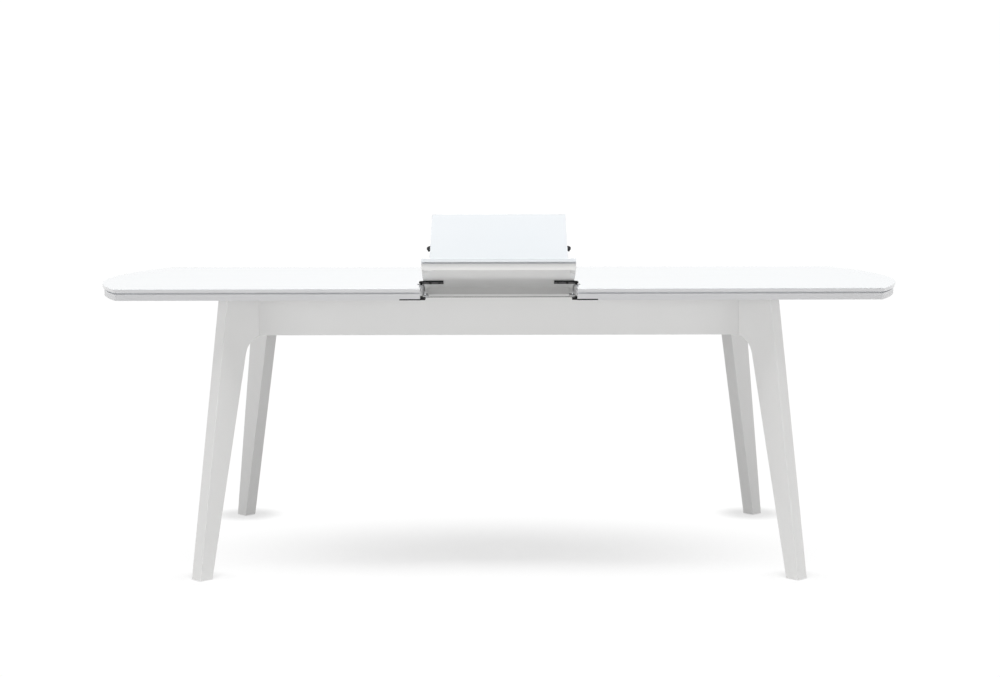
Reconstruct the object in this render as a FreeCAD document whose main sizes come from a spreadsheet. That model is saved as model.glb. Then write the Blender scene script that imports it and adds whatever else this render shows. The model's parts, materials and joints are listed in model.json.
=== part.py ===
"""Butterfly leaf table: a frame with four splayed legs, two sliding tops and a folding leaf between them.

Millimetres. The origin is on the floor under the middle of the table: +X runs along its length, +Y to the
back, +Z up. The leaf is drawn flat and each half is then turned to where it stands half raised.
"""

import FreeCAD, Part
import math
import os
import re
import Sketcher

SIZES = {
    # tops and leaf
    "table_height": 760, "top_depth": 900, "top_length": 886, "end_bulge": 97,
    "leaf_width": 400, "leaf_gap": 3, "fold_gap": 1,
    "plate_thick": 9, "spacer_thick": 4.5, "core_thick": 16.5,
    "core_inset": 5, "spacer_inset": 13, "plate_round": 1.2,
    # where the half raised leaf stands
    "rest_tilt": 15, "rest_fold": 41.4,
    # legs, aprons and corner blocks
    "foot_x": 776, "foot_y": 449, "foot_out": 20, "foot_in": 20, "leg_thick": 38, "leg_lean": 101,
    "arch_start": 30, "arch_radius": 58, "glide_thick": 2, "glide_radius": 12,
    "leg_round": 2, "apron_round": 2, "joint_bevel": 1.2,
    "apron_face": 333, "apron_height": 100, "apron_thick": 20, "slide_clear": 1,
    "block_width": 69.5, "block_thick": 21, "block_margin": 10,
    "bolt_radius": 4, "bolt_margin": 26, "bolt_bite": 45,
    "nut_radius": 7.5, "nut_thick": 6.5, "washer_radius": 9, "washer_thick": 1.6, "bolt_tail": 4,
    "hole_clear": 0.2, "bore_spare": 1,
    # runners
    "channel_width": 18, "channel_wall": 3, "channel_depth": 28, "channel_gap": 6, "channel_drop": 14,
    "runner_play": 0.5, "runner_seat": 0.3, "flange_thick": 7.5, "runner_start": 17, "runner_length": 320,
    "channel_screw_margin": 139, "runner_screw_margin": 32,
    # cross rails and the leaf's pivot
    "cross_thick": 20, "cross_height": 50, "cross_face": 228,
    "dowel_radius": 4, "dowel_length": 30, "dowel_spread": 26,
    "pivot_back": 147, "pivot_drop": 10, "pin_radius": 5, "pin_bite": 20, "pin_play": 0.05,
    "bracket_thick": 8, "bracket_width": 44, "bracket_height": 78, "bracket_rim": 2,
    "bracket_screws_across": 29, "bracket_screws_up": 17, "bush_wall": 2, "bush_fit": 0.02,
    "batten_thick": 19, "batten_front": 63, "batten_back": 22, "batten_end": 10,
    # black steel plates
    "tongue_front": 290, "tongue_rear": 298, "tongue_length": 53, "tongue_depth": 28, "tongue_thick": 4,
    "tongue_width": 25, "tongue_out": 12, "stud_radius": 3, "stud_length": 7, "stud_in": 6,
    "notch_side": 8.5, "notch_end": 4,
    "tongue_screw_pair": 18.5, "tongue_screw_single": 42.5, "tongue_screw_spread": 11,
    "rest_length": 66, "rest_out": 13, "rest_depth": 44, "rest_thick": 3.2, "rest_fit": 0.3,
    "rest_screw_near": 16, "rest_screw_far": 42, "lug_height": 8.5, "lug_crest": 2.5, "lug_shoulder": 3.5,
    "lug_back": 6, "lug_room": 1.5, "lug_fit": 0.3,
    # fold hinges
    "hinge_spread": 130, "hinge_length": 60, "knuckle_radius": 3, "knuckle_gap": 0.3, "hinge_pin_radius": 1.5,
    "hinge_plate": 1.5, "hinge_height": 22, "hinge_relief": 0.4, "hinge_setback": 0.1,
    # wood screws
    "screw_radius": 2, "screw_bite": 12, "head_radius": 3.6, "head_thick": 1.8, "head_clear": 0.15,
}
OVERRUN = 1  # how far a cutter runs past the face that it opens

UNDER = "(table_height - plate_thick - spacer_thick - core_thick)"
CORE_TOP = "(table_height - plate_thick - spacer_thick)"
PLATE_LOW = "(table_height - plate_thick)"
CUT = "(leaf_width / 2 + leaf_gap)"
TIP = "(leaf_width / 2 + leaf_gap + top_length)"
END_RADIUS = "(((top_depth / 2) ^ 2 + end_bulge ^ 2) / (2 * end_bulge))"
APRON_TOP = f"({UNDER} - slide_clear)"
APRON_LOW = f"({APRON_TOP} - apron_height)"
APRON_IN = "(apron_face - apron_thick)"
LEG_OFFSET = "(foot_x - foot_y)"
LEG_HALF = "(leg_thick / sqrt(2))"
CORNER_IN = "(sqrt(2) * (foot_y - apron_face + apron_thick))"
HEAD_REACH = f"({CORNER_IN} + block_width / 2)"
BLOCK_FAR = "(block_width / 2 + block_thick)"
CHANNEL_HALF = f"(foot_x - ({HEAD_REACH} + block_thick + {BLOCK_FAR}) / sqrt(2) - channel_gap)"
CHANNEL_TOP = f"({UNDER} - channel_drop)"
CHANNEL_LOW = f"({CHANNEL_TOP} - channel_depth)"
CROSS_LOW = f"({CHANNEL_LOW} - cross_height)"
PIVOT_Y = "(-pivot_back)"
PIVOT_Z = f"({UNDER} - pivot_drop)"
FRAME_IN = f"({APRON_IN} - channel_width)"

doc = FreeCAD.newDocument("butterfly_table")
sheet = doc.addObject("Spreadsheet::Sheet", "sizes")
for row, (alias, size) in enumerate(SIZES.items(), start=1):
    sheet.set(f"A{row}", alias)
    sheet.set(f"B{row}", str(size))
    sheet.setAlias(f"B{row}", alias)
doc.recompute()

TOUCH = 0.001
NAMES = re.compile(r"\b(" + "|".join(SIZES) + r")\b")
PARTS = []


def linked(expression):
    """An expression on size names, written for FreeCAD."""
    return NAMES.sub(r"sizes.\1", str(expression))


def bind(item, **links):
    for key, expression in links.items():
        item.setExpression(key.replace("_", "."), linked(expression))
    return item


def place(item, x="0", y="0", z="0", angle=None, axis=FreeCAD.Vector(0, 0, 1)):
    """Binds the item's place, and its turn about one axis where it has one."""
    item.Placement = FreeCAD.Placement(FreeCAD.Vector(), FreeCAD.Rotation(axis, 1 if angle else 0))
    bind(item, Placement_Base_x=x, Placement_Base_y=y, Placement_Base_z=z)
    if angle:
        bind(item, Placement_Rotation_Angle=f"({angle}) * 1 deg")
    return item


def part(name, item):
    """Names a finished sub-part."""
    item.Label = name
    PARTS.append(item)
    return item


def flip(span, side):
    """A span (low, high) as it is on the + side or the - side of the middle."""
    low, high = span
    return (low, high) if side > 0 else (f"-({high})", f"-({low})")


def box(x, y, z):
    """A block between two planes each way; each argument is (low, high)."""
    item = doc.addObject("Part::Box", "block")
    bind(item, Length=f"({x[1]}) - ({x[0]})", Width=f"({y[1]}) - ({y[0]})", Height=f"({z[1]}) - ({z[0]})")
    return place(item, x[0], y[0], z[0])


TURNS = {
    "X": FreeCAD.Rotation(FreeCAD.Vector(0, 1, 0), 90),
    "Y": FreeCAD.Rotation(FreeCAD.Vector(1, 0, 0), -90),
    "Z": FreeCAD.Rotation(),
}


def rod(axis, centre, span, radius):
    """A round bar along an axis; centre holds the two other coordinates, in X, Y, Z order."""
    item = doc.addObject("Part::Cylinder", "round")
    bind(item, Radius=radius, Height=f"({span[1]}) - ({span[0]})")
    at = list(centre)
    at.insert("XYZ".index(axis), span[0])
    item.Placement = FreeCAD.Placement(FreeCAD.Vector(), TURNS[axis])
    return bind(item, Placement_Base_x=at[0], Placement_Base_y=at[1], Placement_Base_z=at[2])


def spaced(count, first, last):
    """Evenly spaced places from the first to the last."""
    return [f"(({first}) + {k} * (({last}) - ({first})) / {count - 1})" for k in range(count)]


def joined(items):
    if len(items) == 1:
        return items[0]
    item = doc.addObject("Part::MultiFuse", "joined")
    item.Shapes = items
    return item


def group(items):
    """Separate solids that share one node."""
    item = doc.addObject("Part::Compound", "group")
    item.Links = items
    return item


def cut(base, tools):
    if not tools:
        return base
    item = doc.addObject("Part::Cut", "cut")
    item.Base = base
    item.Tool = joined(tools)
    return item


START, END, CENTRE = 1, 2, 3  # the points of a sketch's line or arc


def sketched(name, plane, outline, depth, midplane=False, arch=None):
    """A PartDesign body padded from a closed outline of straight sides.

    outline lists (x, y) expressions. arch is (corner's number, radius): that corner becomes an arc whose
    centre is straight below its first point and which the next side leaves at a tangent.
    """
    body = doc.addObject("PartDesign::Body", name)
    sketch = body.newObject("Sketcher::SketchObject", name + "_outline")
    origin = [f for f in body.Origin.OriginFeatures if f.Role == plane][0]
    sketch.AttachmentSupport = [(origin, "")]
    sketch.MapMode = "FlatFace"
    count = len(outline)
    points = [FreeCAD.Vector(value(x), value(y), 0) for x, y in outline]
    for i in range(count):
        sketch.addGeometry(Part.LineSegment(points[i], points[(i + 1) % count]), False)
    links = []
    starts = [(i, START) for i in range(count)]
    ends = [(i, END) for i in range(count)]
    if arch:
        corner_number, radius = arch
        bend = value(radius)
        centre = points[corner_number] - FreeCAD.Vector(0, bend, 0)
        away = points[(corner_number + 1) % count] - centre
        lean = math.atan2(away.y, away.x) + math.acos(bend / away.Length)
        leave = centre + FreeCAD.Vector(bend * math.cos(lean), bend * math.sin(lean), 0)
        sketch.delGeometry(corner_number)
        circle = Part.Circle(centre, FreeCAD.Vector(0, 0, 1), bend)
        arc, side = count - 1, count
        sketch.addGeometry(Part.ArcOfCircle(circle, lean, math.pi / 2), False)
        sketch.addGeometry(Part.LineSegment(leave, points[(corner_number + 1) % count]), False)
        sketch.addConstraint(Sketcher.Constraint("Tangent", arc, START, side, START))
        sketch.addConstraint(Sketcher.Constraint("Vertical", arc, END, arc, CENTRE))
        links.append((sketch.addConstraint(Sketcher.Constraint("Radius", arc, bend)), radius))
        for i in range(corner_number + 1, count):
            starts[i], ends[i] = (i - 1, START), (i - 1, END)
        starts[corner_number], ends[corner_number] = (arc, END), (side, END)
    for i in range(count):
        sketch.addConstraint(Sketcher.Constraint("Coincident", *ends[i], *starts[(i + 1) % count]))
    for i, (x, y) in enumerate(outline):
        for kind, expression, number in (("DistanceX", x, points[i].x), ("DistanceY", y, points[i].y)):
            links.append((sketch.addConstraint(Sketcher.Constraint(kind, *starts[i], number)), expression))
    for constraint, expression in links:
        sketch.setExpression(f"Constraints[{constraint}]", linked(expression))
    pad = body.newObject("PartDesign::Pad", name + "_pad")
    pad.Profile = sketch
    pad.Midplane = midplane
    bind(pad, Length=depth)
    doc.recompute()
    return body


def middle_of(edge):
    return edge.valueAt((edge.FirstParameter + edge.LastParameter) / 2)


def dressed(body, kind, size_key, size, keep):
    """Adds a fillet or chamfer to the body's edges whose middles keep accepts."""
    base = body.Tip
    chosen = [f"Edge{n}" for n, edge in enumerate(base.Shape.Edges, start=1) if keep(middle_of(edge))]
    feature = body.newObject("PartDesign::" + kind, body.Name + "_" + kind.lower())
    feature.Base = (base, chosen)
    bind(feature, **{size_key: size})
    doc.recompute()
    return body


def value(expression):
    """The number that an expression comes to."""
    names = dict(SIZES, sqrt=math.sqrt)
    tree = re.sub(r"\^", "**", str(expression))
    total = NAMES.sub(lambda found: repr(float(names[found.group(1)])), tree)
    return FreeCAD.Units.Quantity(total.replace("**", "^")).Value


def screws(axis, places, seat, way):
    """Wood screws along an axis: each head lies on the seat plane, and its shank goes the given way."""
    if way > 0:
        shank, head = (seat, f"({seat}) + screw_bite"), (f"({seat}) - head_thick", seat)
    else:
        shank, head = (f"({seat}) - screw_bite", seat), (seat, f"({seat}) + head_thick")
    return [joined([rod(axis, centre, shank, "screw_radius"), rod(axis, centre, head, "head_radius")])
            for centre in places]


def screw_holes(axis, places, seat, way):
    deep = "screw_bite + bore_spare"
    if way > 0:
        span = (f"({seat}) - {OVERRUN}", f"({seat}) + {deep}")
    else:
        span = (f"({seat}) - ({deep})", f"({seat}) + {OVERRUN}")
    return [rod(axis, centre, span, "screw_radius + hole_clear / 2") for centre in places]


# ---------------------------------------------------------------- legs and corner blocks

CORNERS = {
    "front_left": (-1, -1, 225),
    "front_right": (1, -1, 315),
    "rear_left": (-1, 1, 135),
    "rear_right": (1, 1, 45),
}
BOLT_HEIGHTS = (f"{APRON_LOW} + bolt_margin", f"{APRON_TOP} - bolt_margin")
LEG_OUTLINE = [
    ("foot_out", "glide_thick"),
    ("foot_out - leg_lean", APRON_TOP),
    (f"-{HEAD_REACH}", APRON_TOP),
    (f"-{HEAD_REACH}", APRON_LOW),
    (f"-{HEAD_REACH} + arch_start", APRON_LOW),
    ("-foot_in", "glide_thick"),
]


def corner(item, side_x, side_y, angle):
    return place(item, f"{side_x} * foot_x", f"{side_y} * foot_y", "0", str(angle))


def bolt_bores():
    """Bores along the corner's diagonal, through the block and into the leg's head."""
    span = (f"-{HEAD_REACH} - block_thick - {OVERRUN}", f"-{HEAD_REACH} + bolt_bite + bore_spare")
    return [rod("X", ("0", height), span, "bolt_radius + hole_clear") for height in BOLT_HEIGHTS]


def on_leg_rim(point):
    """Whether a point lies on a long edge of a leg, between its foot and its head."""
    beside = abs(point.y) > value("leg_thick") / 2 - TOUCH
    inside = point.x > -value(HEAD_REACH) + TOUCH
    return beside and inside and value("glide_thick") + TOUCH < point.z < value(APRON_TOP) - TOUCH


def leg(name, place_at):
    arch = (4, "arch_radius")
    body = sketched(name + "_blank", "XZ_Plane", LEG_OUTLINE, "leg_thick", midplane=True, arch=arch)
    dressed(body, "Fillet", "Radius", "leg_round", on_leg_rim)
    return part(name, corner(cut(body, bolt_bores()), *place_at))


def corner_block(name, place_at):
    face, back = f"-{HEAD_REACH}", f"-{HEAD_REACH} - block_thick"
    half = "block_width / 2"
    outline = [(face, half), (back, BLOCK_FAR), (back, f"-{BLOCK_FAR}"), (face, f"-{half}")]
    body = sketched(name + "_blank", "XY_Plane", outline, "apron_height - 2 * block_margin")
    place(body, z=f"{APRON_LOW} + block_margin")
    return part(name, corner(cut(body, bolt_bores()), *place_at))


def leg_bolt(height):
    """A stud with its washer and hexagon nut, along the diagonal."""
    face = f"(-{HEAD_REACH} - block_thick)"
    stud_span = (f"{face} - washer_thick - nut_thick - bolt_tail", f"-{HEAD_REACH} + bolt_bite")
    stud = rod("X", ("0", height), stud_span, "bolt_radius")
    washer = rod("X", ("0", height), (f"{face} - washer_thick", face), "washer_radius")
    nut = doc.addObject("Part::Prism", "nut")
    nut.Polygon = 6
    bind(nut, Circumradius="nut_radius", Height="nut_thick")
    nut.Placement = FreeCAD.Placement(FreeCAD.Vector(), TURNS["X"])
    back = f"{face} - washer_thick - nut_thick"
    bind(nut, Placement_Base_x=back, Placement_Base_y="0", Placement_Base_z=height)
    return joined([stud, washer, nut])


bolts = []
for corner_name, place_at in CORNERS.items():
    leg("leg_" + corner_name, place_at)
    corner_block("corner_block_" + corner_name, place_at)
    bolts.append(corner(group([leg_bolt(height) for height in BOLT_HEIGHTS]), *place_at))
part("leg_bolts", group(bolts))
glides = [rod("Z", (f"{x} * foot_x", f"{y} * foot_y"), ("0", "glide_thick"), "glide_radius")
          for x, y, turn in CORNERS.values()]
part("foot_glides", group(glides))

# ---------------------------------------------------------------- aprons, channels and cross rails

SIDES = {"front": -1, "rear": 1}
HANDS = {"left": -1, "right": 1}
DOWEL_MIDDLE = f"({CROSS_LOW} + cross_height / 2)"
CROSS_MIDDLE = "(cross_face + cross_thick / 2)"
LAST_SCREW = f"({CHANNEL_HALF} - channel_screw_margin)"
CHANNEL_SCREWS = spaced(4, f"-{LAST_SCREW}", LAST_SCREW)
CHANNEL_BED = f"({CHANNEL_LOW} + channel_wall)"
SCREW_HEIGHT = f"({CHANNEL_LOW} + channel_depth / 2)"
GROOVE_OUT = f"({APRON_IN} - channel_wall)"
GROOVE_IN = f"({FRAME_IN} + channel_wall)"


def dowel_places():
    return [(f"{hand} * {CROSS_MIDDLE}", f"{DOWEL_MIDDLE} + {up} * dowel_spread / 2")
            for hand in HANDS.values() for up in (-1, 1)]


def dowel_span(side, spare="0"):
    reach = f"(dowel_length / 2 + {spare})"
    return flip((f"{APRON_IN} - {reach}", f"{APRON_IN} + {reach}"), side)


def dowel_bores(side):
    return [rod("Y", at, dowel_span(side, "bore_spare"), "dowel_radius + hole_clear / 2")
            for at in dowel_places()]


def apron(name, outline, out):
    """An apron board with its lower outer edge rounded and the joints at its outer ends beveled."""
    body = sketched(name + "_apron_blank", "XY_Plane", outline, "apron_height")
    face, end = value(outline[0][1] if out.x == 0 else outline[0][0]), value("apron_height") / 2

    def on_face(point):
        return abs((point.y if out.x == 0 else point.x) - face) < TOUCH

    dressed(body, "Fillet", "Radius", "apron_round", lambda p: on_face(p) and abs(p.z) < TOUCH)
    dressed(body, "Chamfer", "Size", "joint_bevel", lambda p: on_face(p) and abs(p.z - end) < end / 2)
    return place(body, z=APRON_LOW)


dowels, channel_screws = [], []
for name, side in SIDES.items():
    face, inner = f"{side} * apron_face", f"{side} * {APRON_IN}"
    outer_end = f"(apron_face + {LEG_OFFSET} - {LEG_HALF})"
    inner_end = f"({outer_end} - apron_thick)"
    outline = [(f"-{outer_end}", face), (outer_end, face), (inner_end, inner), (f"-{inner_end}", inner)]
    blank = apron(name, outline, FreeCAD.Vector(0, side, 0))
    screw_places = [(x, SCREW_HEIGHT) for x in CHANNEL_SCREWS]
    seat = f"{side} * ({GROOVE_OUT} + head_thick)"
    bores = dowel_bores(side) + screw_holes("Y", screw_places, seat, side)
    part(name + "_apron", cut(blank, bores))
    channel_screws += screws("Y", screw_places, seat, side)
    dowels += [rod("Y", at, dowel_span(side), "dowel_radius") for at in dowel_places()]

    walls = [(f"{side} * {APRON_IN}", CHANNEL_LOW), (f"{side} * {APRON_IN}", CHANNEL_TOP),
             (f"{side} * {GROOVE_OUT}", CHANNEL_TOP), (f"{side} * {GROOVE_OUT}", CHANNEL_BED),
             (f"{side} * {GROOVE_IN}", CHANNEL_BED), (f"{side} * {GROOVE_IN}", CHANNEL_TOP),
             (f"{side} * {FRAME_IN}", CHANNEL_TOP), (f"{side} * {FRAME_IN}", CHANNEL_LOW)]
    channel = sketched(name + "_channel_blank", "YZ_Plane", walls, f"2 * {CHANNEL_HALF}", midplane=True)
    sinks = screw_holes("Y", screw_places, seat, side)
    sink_span = flip((f"{GROOVE_OUT} - {OVERRUN}", f"{GROOVE_OUT} + head_thick"), side)
    sinks += [rod("Y", at, sink_span, "head_radius + hole_clear") for at in screw_places]
    part(name + "_channel", cut(channel, sinks))

bushes, bracket_fixings = [], []
for name, hand in HANDS.items():
    face = f"{hand} * (apron_face + {LEG_OFFSET})"
    inner = f"{hand} * ({APRON_IN} + {LEG_OFFSET})"
    outer_end = f"(apron_face - {LEG_HALF})"
    inner_end = f"({outer_end} - apron_thick)"
    outline = [(face, f"-{outer_end}"), (face, outer_end), (inner, inner_end), (inner, f"-{inner_end}")]
    part(name + "_apron", apron(name, outline, FreeCAD.Vector(hand, 0, 0)))

    rail = box(flip(("cross_face", "cross_face + cross_thick"), hand), (f"-{APRON_IN}", APRON_IN),
               (CROSS_LOW, CHANNEL_LOW))
    bores = [bore for side in SIDES.values() for bore in dowel_bores(side)]
    bracket_screws = [(f"{PIVOT_Y} + {k} * bracket_screws_across / 2",
                       f"{DOWEL_MIDDLE} + {up} * bracket_screws_up / 2") for k in (-1, 1) for up in (-1, 1)]
    bracket_face = f"{hand} * (cross_face - bracket_thick)"
    bores += screw_holes("X", bracket_screws, bracket_face, hand)
    part("cross_rail_" + name, cut(rail, bores))

    bush_span = flip(("cross_face - bracket_thick", "cross_face"), hand)
    hole_span = flip((f"cross_face - bracket_thick - {OVERRUN}", f"cross_face + {OVERRUN}"), hand)
    bracket_top = f"({PIVOT_Z} + pin_radius + bush_wall + bracket_rim)"
    plate = box(bush_span, (f"{PIVOT_Y} - bracket_width / 2", f"{PIVOT_Y} + bracket_width / 2"),
                (f"{bracket_top} - bracket_height", bracket_top))
    pivot = (PIVOT_Y, PIVOT_Z)
    bores = screw_holes("X", bracket_screws, bracket_face, hand)
    bores.append(rod("X", pivot, hole_span, "pin_radius + pin_play + bush_wall + bush_fit"))
    part("pivot_bracket_" + name, cut(plate, bores))
    bushes.append(cut(rod("X", pivot, bush_span, "pin_radius + pin_play + bush_wall"),
                      [rod("X", pivot, hole_span, "pin_radius + pin_play")]))
    bracket_fixings += screws("X", bracket_screws, bracket_face, hand)
part("pivot_bushes", group(bushes))
part("bracket_screws", group(bracket_fixings))
part("channel_screws", group(channel_screws))
part("rail_dowels", group(dowels))

# ---------------------------------------------------------------- sliding tops

RUNNER_MIDDLE = f"({APRON_IN} - channel_width / 2)"
WEB_HALF = "(channel_width / 2 - channel_wall - runner_play)"
FLANGE_OUT = f"({APRON_IN} - slide_clear)"
RUNNER_NEAR = f"({CUT} + runner_start)"
RUNNER_FAR = f"({RUNNER_NEAR} + runner_length)"
FLANGE_IN = f"({RUNNER_MIDDLE} - {WEB_HALF} - 2 * (head_radius + head_clear))"
FLANGE_SCREW_Y = f"({FLANGE_IN} + head_radius + head_clear)"
FLANGE_SCREWS = spaced(3, f"{RUNNER_NEAR} + runner_screw_margin", f"{RUNNER_FAR} - runner_screw_margin")
REST_FRONT = "(top_depth / 2 - core_inset)"
REST_TOP = f"({UNDER} + rest_thick)"


def end_rounded(hand, low, high, inset):
    """A slab from the cut face to the curved end, drawn in by the inset on its three outer sides."""
    half = f"(top_depth / 2 - {inset})"
    slab = box(flip((CUT, f"{TIP} + {OVERRUN}"), hand), (f"-{half}", half), (low, high))
    curve = rod("Z", (f"{hand} * ({TIP} - {END_RADIUS})", "0"), (low, high), f"{END_RADIUS} - {inset}")
    item = doc.addObject("Part::MultiCommon", "rounded")
    item.Shapes = [slab, curve]
    return item


def rim_round(base, height, keep):
    """Rounds the upper edges of a slab that keep accepts."""
    doc.recompute()
    top = value(height)
    edges = []
    for number, edge in enumerate(base.Shape.Edges, start=1):
        flat = all(abs(v.Z - top) < TOUCH for v in edge.Vertexes)
        if flat and keep(middle_of(edge)):
            edges.append((number, value("plate_round"), value("plate_round")))
    item = doc.addObject("Part::Fillet", "rounded_rim")
    item.Base = base
    item.Edges = edges
    return item


def tongue_middle(side):
    return "(-tongue_front)" if side < 0 else "tongue_rear"


def tongue_notches(hand):
    """Gaps in the cut edge that the leaf's tongues pass through."""
    reach = "leaf_width / 2 + tongue_out + notch_end"
    half = "(tongue_width / 2 + notch_side)"
    across = flip((f"{CUT} - {OVERRUN}", reach), hand)
    through = (f"{UNDER} - {OVERRUN}", f"table_height + {OVERRUN}")
    return [box(across, (f"{tongue_middle(side)} - {half}", f"{tongue_middle(side)} + {half}"), through)
            for side in SIDES.values()]


def rest_places(hand, side):
    """Two screws through the fixed part of a leaf rest."""
    y = f"{side} * ({REST_FRONT} - rest_depth / 2)"
    return [(f"{hand} * ({CUT} + {reach})", y) for reach in ("rest_screw_near", "rest_screw_far")]


def rest_recess(hand, side):
    """The seat of a leaf rest in the underside of a top, open to the cut edge and to the long edge."""
    return box(flip((f"{CUT} - {OVERRUN}", f"{CUT} - rest_out + rest_length + rest_fit"), hand),
               flip((f"{REST_FRONT} - rest_depth - rest_fit", f"{REST_FRONT} + {OVERRUN}"), side),
               (f"{UNDER} - {OVERRUN}", REST_TOP))


def leaf_rest(label, hand, side):
    """A steel plate let into a top; a lug at its free end slopes up to the cut and carries the leaf."""
    near = f"({CUT} - rest_out)"
    crest = f"({CUT} - rest_fit)"
    outline = [(f"{hand} * {near}", UNDER), (f"{hand} * ({near} + rest_length)", UNDER),
               (f"{hand} * ({near} + rest_length)", REST_TOP), (f"{hand} * {crest}", REST_TOP),
               (f"{hand} * {crest}", f"{UNDER} + lug_height"),
               (f"{hand} * ({crest} - lug_crest)", f"{UNDER} + lug_height"),
               (f"{hand} * {near}", f"{UNDER} + lug_shoulder")]
    body = sketched(label + "_blank", "XZ_Plane", outline, "rest_depth")
    place(body, y=f"-{REST_FRONT} + rest_depth" if side < 0 else REST_FRONT)
    setback = box(flip((f"{near} - {OVERRUN}", crest), hand),
                  flip((f"{REST_FRONT} - lug_back", f"{REST_FRONT} + {OVERRUN}"), side),
                  (f"{UNDER} - {OVERRUN}", f"{UNDER} + lug_height + {OVERRUN}"))
    return cut(body, [setback])


for name, hand in HANDS.items():
    flange_places = [(f"{hand} * {x}", f"{side} * {FLANGE_SCREW_Y}")
                     for side in SIDES.values() for x in FLANGE_SCREWS]
    flange_seat = f"({UNDER} - flange_thick)"
    rest_screws = [at for side in SIDES.values() for at in rest_places(hand, side)]
    core_bores = screw_holes("Z", flange_places, flange_seat, 1) + screw_holes("Z", rest_screws, UNDER, 1)
    recesses = [rest_recess(hand, side) for side in SIDES.values()]
    core = end_rounded(hand, UNDER, CORE_TOP, "core_inset")
    part(name + "_top_core", cut(core, tongue_notches(hand) + recesses + core_bores))
    spacer = end_rounded(hand, CORE_TOP, PLATE_LOW, "spacer_inset")
    part(name + "_top_spacer", cut(spacer, tongue_notches(hand)))
    plate = end_rounded(hand, PLATE_LOW, "table_height", "0")
    cut_x = hand * value(CUT)
    plate = rim_round(plate, "table_height", lambda p, x=cut_x: abs(p.x - x) > 1)
    part(name + "_top_plate", cut(plate, tongue_notches(hand)))

    for side_name, side in SIDES.items():
        profile = [(f"{side} * {FLANGE_OUT}", UNDER), (f"{side} * {FLANGE_IN}", UNDER),
                   (f"{side} * {FLANGE_IN}", flange_seat),
                   (f"{side} * ({RUNNER_MIDDLE} - {WEB_HALF})", flange_seat),
                   (f"{side} * ({RUNNER_MIDDLE} - {WEB_HALF})", f"{CHANNEL_BED} + runner_seat"),
                   (f"{side} * ({RUNNER_MIDDLE} + {WEB_HALF})", f"{CHANNEL_BED} + runner_seat"),
                   (f"{side} * ({RUNNER_MIDDLE} + {WEB_HALF})", flange_seat),
                   (f"{side} * {FLANGE_OUT}", flange_seat)]
        label = f"{name}_runner_{side_name}"
        blank = sketched(label + "_blank", "YZ_Plane", profile, "runner_length")
        start = RUNNER_NEAR if hand > 0 else f"-{RUNNER_FAR}"
        place(blank, x=start)
        own = [at for at in flange_places if at[1].startswith(f"{side} ")]
        part(label, cut(blank, screw_holes("Z", own, flange_seat, 1)))

        label = f"{name}_leaf_rest_{side_name}"
        rest = leaf_rest(label, hand, side)
        part(label, cut(rest, screw_holes("Z", rest_places(hand, side), UNDER, 1)))
    part(name + "_runner_screws", group(screws("Z", flange_places, flange_seat, 1)))
    part(name + "_rest_screws", group(screws("Z", rest_screws, UNDER, 1)))

# ---------------------------------------------------------------- folding leaf

REAR_TILT = "(rest_fold - rest_tilt)"
RISE = f"(table_height - {PIVOT_Z})"
FOLD_Y = f"({PIVOT_Y} + pivot_back * cos(rest_tilt) + {RISE} * sin(rest_tilt))"
FOLD_Z = f"({PIVOT_Z} - pivot_back * sin(rest_tilt) + {RISE} * cos(rest_tilt))"
ALONG_X = FreeCAD.Vector(1, 0, 0)
HINGES = [f"{k} * hinge_spread" for k in (-1, 0, 1)]
KNUCKLES = 5
FOLD_LINE = ("0", "table_height")


def stand(item, half):
    """Turns a piece drawn flat to where its half of the leaf stands."""
    if half == "front":
        y = f"{PIVOT_Y} - ({PIVOT_Y} * cos(rest_tilt) + {PIVOT_Z} * sin(rest_tilt))"
        z = f"{PIVOT_Z} - ({PIVOT_Z} * cos(rest_tilt) - {PIVOT_Y} * sin(rest_tilt))"
        return place(item, "0", y, z, "-rest_tilt", ALONG_X)
    y = f"{FOLD_Y} + table_height * sin({REAR_TILT})"
    z = f"{FOLD_Z} - table_height * cos({REAR_TILT})"
    return place(item, "0", y, z, REAR_TILT, ALONG_X)


def slab(side, low, high, inset):
    depth = flip(("fold_gap / 2", f"top_depth / 2 - {inset}"), side)
    return box(("-leaf_width / 2", "leaf_width / 2"), depth, (low, high))


def lug_recesses(side):
    """Room for the leaf rests' lugs in the underside of the leaf, closed towards its long edge."""
    inner = f"{CUT} - rest_out - leaf_gap - lug_room"
    return [box(flip((inner, f"leaf_width / 2 + {OVERRUN}"), hand),
                flip((f"{REST_FRONT} - rest_depth - lug_room", f"{REST_FRONT} - lug_back + lug_room"), side),
                (f"{UNDER} - {OVERRUN}", f"{UNDER} + lug_height + lug_fit")) for hand in HANDS.values()]


def hinge_recesses(side):
    """Seats for the hinge plates in the fold face, and room for the knuckles at its upper edge."""
    tools = []
    for middle in HINGES:
        half = "(hinge_length / 2 + hinge_relief)"
        across = (f"{middle} - {half}", f"{middle} + {half}")
        depth = ("0", "fold_gap / 2 + hinge_setback + hinge_plate")
        tall = ("table_height - hinge_height", f"table_height + {OVERRUN}")
        tools.append(box(across, flip(depth, side), tall))
        tools.append(rod("X", FOLD_LINE, across, "knuckle_radius + hinge_relief"))
    return tools


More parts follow.
